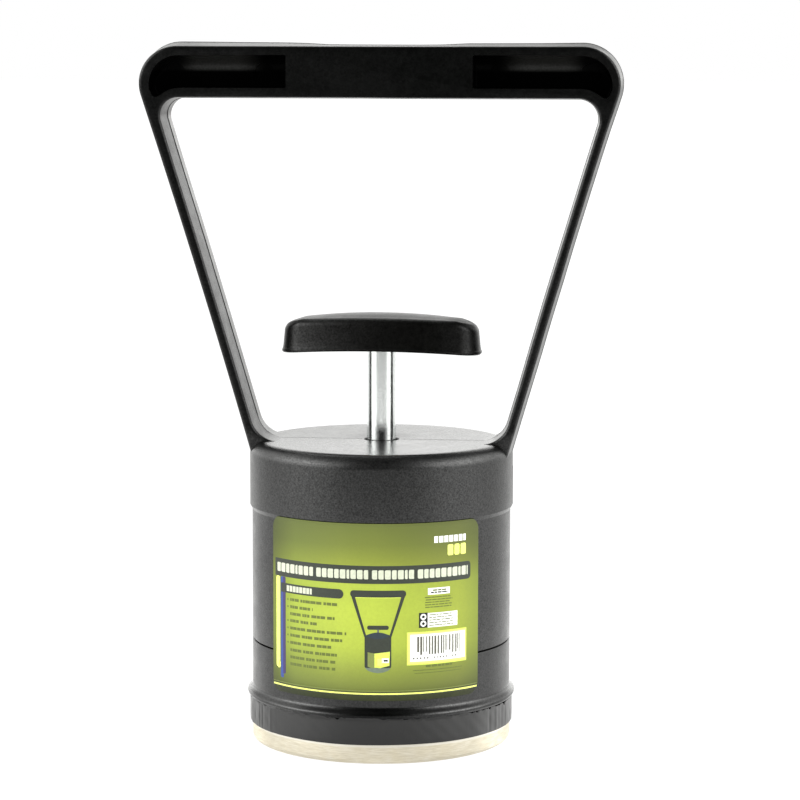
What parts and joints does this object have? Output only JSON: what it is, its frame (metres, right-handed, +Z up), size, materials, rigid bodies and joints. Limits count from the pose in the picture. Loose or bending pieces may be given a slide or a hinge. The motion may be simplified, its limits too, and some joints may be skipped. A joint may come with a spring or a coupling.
{
  "type": "hand-held magnetic pick-up tool",
  "caption": "Hand-held magnetic pick-up tool: a trapezoid grip moulded onto a round body, and a sprung T-handle that lifts the magnet off the base cup to drop the nails.",
  "frame": {"origin": "centre of the underside of the base cup", "axes": "+X along the grip's bar, -Y towards the front label, +Z up along the rod"},
  "size_m": [0.1052, 0.059, 0.1524],
  "materials": {
    "black_abs": "satin black injection-moulded ABS with a fine grain",
    "black_abs_gloss": "semi-gloss black ABS",
    "cup_metal": "satin, lightly brushed, warm off-white metal",
    "black_pvc": "black shrink film with a torn upper edge and small wrinkles",
    "label_film": "satin printed film, lime green with a charcoal banner",
    "acetal": "natural acetal",
    "steel_hardware": "bright zinc plate",
    "spring_steel": "oiled spring wire",
    "zinc_rod": "bright zinc plate with fine pitting",
    "black_tee": "black moulded plastic with a fine grain",
    "brass_insert": "machined brass",
    "pot_steel": "zinc-plated pressed steel",
    "ferrite": "dark grey sintered ferrite",
    "nylon": "natural nylon"
  },
  "bodies": {
    "housing": {"handle_housing": "black_abs", "lower_housing": "black_abs_gloss", "base_cup": "cup_metal", "joint_band": "black_pvc", "front_label": "label_film", "guide_bush": "acetal", "upper_spring_washer": "steel_hardware", "return_spring": "spring_steel"},
    "spring_carriage": {"lower_spring_washer": "steel_hardware"},
    "plunger": {"release_rod": "zinc_rod", "release_handle": "black_tee", "handle_insert_nut": "brass_insert", "pot_washer": "steel_hardware", "plunger_jam_nut": "steel_hardware", "magnet_pot": "pot_steel", "ring_magnet_lower": "ferrite", "ring_magnet_upper": "ferrite", "centring_sleeve": "nylon", "clamp_washer": "steel_hardware", "magnet_nut": "steel_hardware"}
  },
  "joints": [
    {"name": "release_lift", "type": "slide", "parent": "housing", "child": "spring_carriage", "axis": [0, 0, 1], "range_m": [0, 0.022], "stiffness_N_per_m": 250, "springref_m": -0.012, "deforming": ["return_spring"]},
    {"name": "release_spin", "type": "hinge", "parent": "spring_carriage", "child": "plunger", "pos_m": [0, 0, 0.0905], "axis": [0, 0, 1], "continuous": true}
  ]
}
